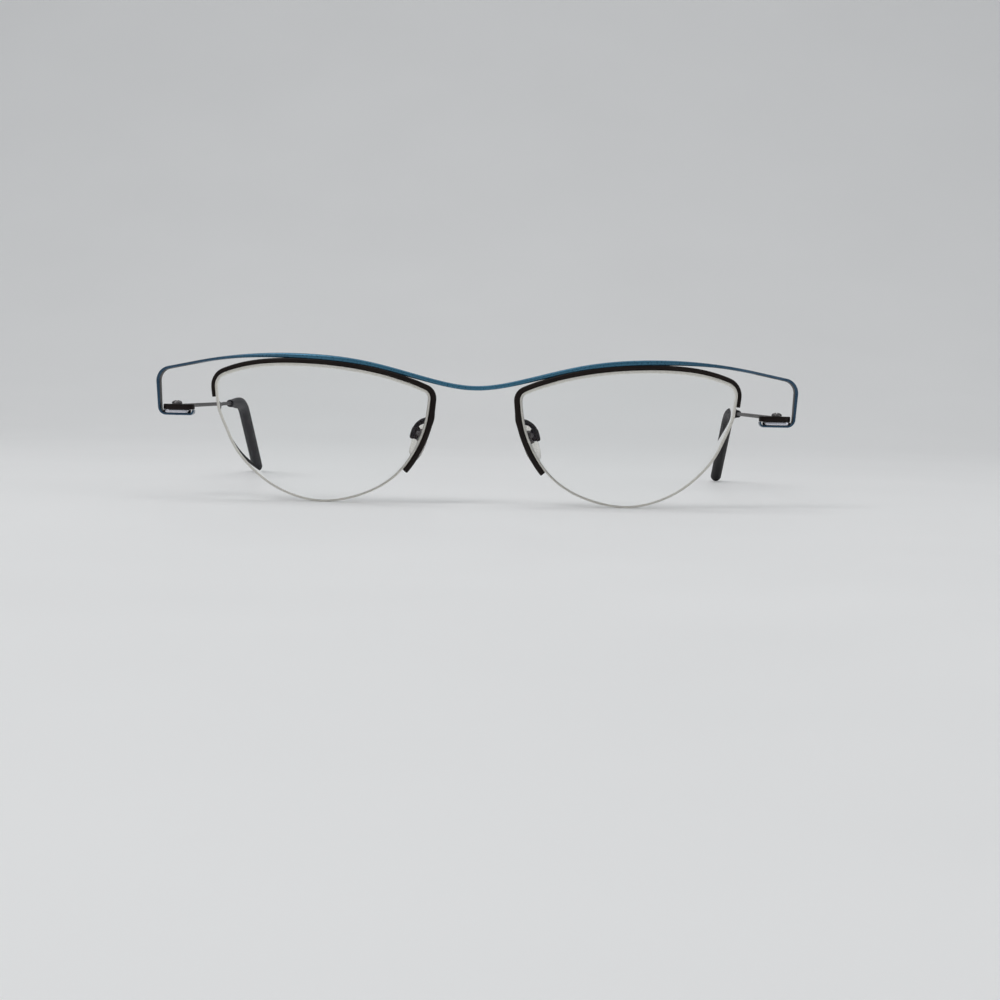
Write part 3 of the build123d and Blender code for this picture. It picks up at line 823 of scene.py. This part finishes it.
def temple_tip():
    """A rubber sleeve over the wire: a collar at its front, a slow swell, and a domed end."""
    bend_start = place((PIN_X, PIN_BACK + SHANK, WIRE_UP))
    way = np.array([0, cos(BEND_ANGLE), -sin(BEND_ANGLE)])
    turns = np.linspace(0, BEND_ANGLE, 24)
    arc = [bend_start + BEND_RADIUS * np.array([0, sin(q), cos(q) - 1]) for q in turns]
    tail = (arc[-1][2] - TIP_RADIUS) / sin(BEND_ANGLE)
    front = [place((PIN_X, PIN_BACK + d, WIRE_UP)) for d in np.linspace(TIP_START, SHANK, 24)[:-1]]
    back = [arc[-1] + way * d for d in np.linspace(0, tail, 30)[1:]]
    line = np.array(front + arc + back)
    run = np.concatenate([[0], np.cumsum(np.linalg.norm(np.diff(line, axis=0), axis=1))])
    grow = np.clip(run / (SHANK - TIP_START), 0, 1)
    radius = TIP_FRONT_RADIUS + (TIP_RADIUS - TIP_FRONT_RADIUS) * grow * grow * (3 - 2 * grow) - TIP_SKIN_GAP
    loops = swept(line, X, radius, radius, round_start=TIP_FRONT_ROUND)
    last, centre = loops[-1], line[-1]
    for q in np.linspace(0, pi / 2, 9)[1:]:
        loops.append(centre + (last - centre) * max(cos(q), 0.03) + way * radius[-1] * sin(q))
    both_sides(make_object("tip", [skin(loops)], [RUBBER]), "temple_tip", "temple")


brow_bar()
lens()
rim()
strip_in_groove("rim_liner", over_top, LINER_DEPTH, LINER_HALF_HIGH)
strip_in_groove("nylon_cord", under, CORD_DEPTH, CORD_HALF_HIGH)
nose_pad()
pad_box()
pad_screw()
pad_arm()
washer()
hinge_screw()
temple()
temple_tip()

for side in ("left", "right"):
    insert = frame["nodes"][f"pad_insert_{side}"]
    insert.data.materials.clear()
    insert.data.materials.append(NICKEL)

# ---- Studio ------------------------------------------------------------------------------------


FLOOR_HALF_WIDTH = 2.5  # metres, as are the others here
FLOOR_FRONT = -1.5
COVE_START = 0.35
COVE_RADIUS = 0.8
WALL_TOP = 2.2


def studio():
    """A pale floor that curves up into a backdrop, seen nearly from floor level."""
    profile = [(FLOOR_FRONT, 0.0), (COVE_START, 0.0)]
    profile += [(COVE_START + COVE_RADIUS * sin(q), COVE_RADIUS - COVE_RADIUS * cos(q))
                for q in np.linspace(0.05, pi / 2, 24)]
    profile += [(COVE_START + COVE_RADIUS, WALL_TOP)]
    points = [(x, y, z) for y, z in profile for x in (-FLOOR_HALF_WIDTH, FLOOR_HALF_WIDTH)]
    faces = [(2 * i, 2 * i + 1, 2 * i + 3, 2 * i + 2) for i in range(len(profile) - 1)]
    mesh = bpy.data.meshes.new("floor")
    mesh.from_pydata(points, [], faces)
    mesh.shade_smooth()
    look = Look("pale_floor")
    pale, paler = (0.86, 0.86, 0.855), (0.88, 0.88, 0.875)
    look.feed("Base Color", look.colours(look.noise(9, 2), (0.3, pale), (0.7, paler)))
    look.feed("Roughness", look.spread(look.noise(30, 2), 0.5, 0.6))
    mesh.materials.append(look.material)
    floor = bpy.data.objects.new("floor", mesh)
    bpy.context.scene.collection.objects.link(floor)


def softbox(name, where, size, power, aim=(0, -0.03, 0.02)):
    """A rectangular lamp of this size and power, turned towards `aim`."""
    data = bpy.data.lights.new(name, "AREA")
    data.shape, data.size, data.size_y, data.energy = "RECTANGLE", size[0], size[1], power
    lamp = bpy.data.objects.new(name, data)
    lamp.location = where
    lamp.rotation_euler = (Vector(where) - Vector(aim)).to_track_quat("Z", "Y").to_euler()
    bpy.context.scene.collection.objects.link(lamp)


def lights():
    """Soft light from the front left, weaker from the right and from above, over an even sky."""
    world = bpy.data.worlds.new("studio")
    world.use_nodes = True
    world.node_tree.nodes["Background"].inputs["Color"].default_value = (0.93, 0.96, 1.0, 1)
    world.node_tree.nodes["Background"].inputs["Strength"].default_value = 0.38
    bpy.context.scene.world = world
    softbox("key", (-0.5, -0.55, 0.85), (0.5, 0.5), 3.4)
    softbox("fill", (0.8, -0.4, 0.4), (0.5, 0.7), 1.2)
    softbox("top", (0.0, 0.15, 1.0), (0.9, 0.6), 2.4)


CAMERA_DISTANCE = 400 * MM
CAMERA_AZIMUTH = radians(1.5)
CAMERA_ROLL = radians(1.15)
LENS_MM = 67.1
SENSOR_MM = 36.0
BRIDGE_IN_VIEW = (-0.0247, 0.112)  # right and up from the view's middle, in view widths


def camera():
    """Straight ahead, level with the bridge, which lands up and left of the view's middle."""
    bridge = Vector(BRIDGE * MM)
    ahead = Vector((-sin(CAMERA_AZIMUTH), cos(CAMERA_AZIMUTH), 0))
    where = bridge - ahead * CAMERA_DISTANCE
    level = ahead.cross(Vector((0, 0, 1)))
    right = Matrix.Rotation(-CAMERA_ROLL, 3, ahead) @ level
    up = right.cross(ahead)
    view_width = SENSOR_MM / LENS_MM
    aim = ahead - right * BRIDGE_IN_VIEW[0] * view_width - up * BRIDGE_IN_VIEW[1] * view_width
    aim.normalize()
    right = (right - aim * right.dot(aim)).normalized()
    up = right.cross(aim)
    data = bpy.data.cameras.new("camera")
    data.lens, data.sensor_width, data.clip_start, data.clip_end = LENS_MM, SENSOR_MM, 0.01, 20
    made = bpy.data.objects.new("camera", data)
    made.matrix_world = Matrix.Translation(where) @ Matrix((right, up, -aim)).transposed().to_4x4()
    bpy.context.scene.collection.objects.link(made)
    bpy.context.scene.camera = made


studio()
lights()
camera()
bpy.context.scene.view_settings.view_transform = "Standard"
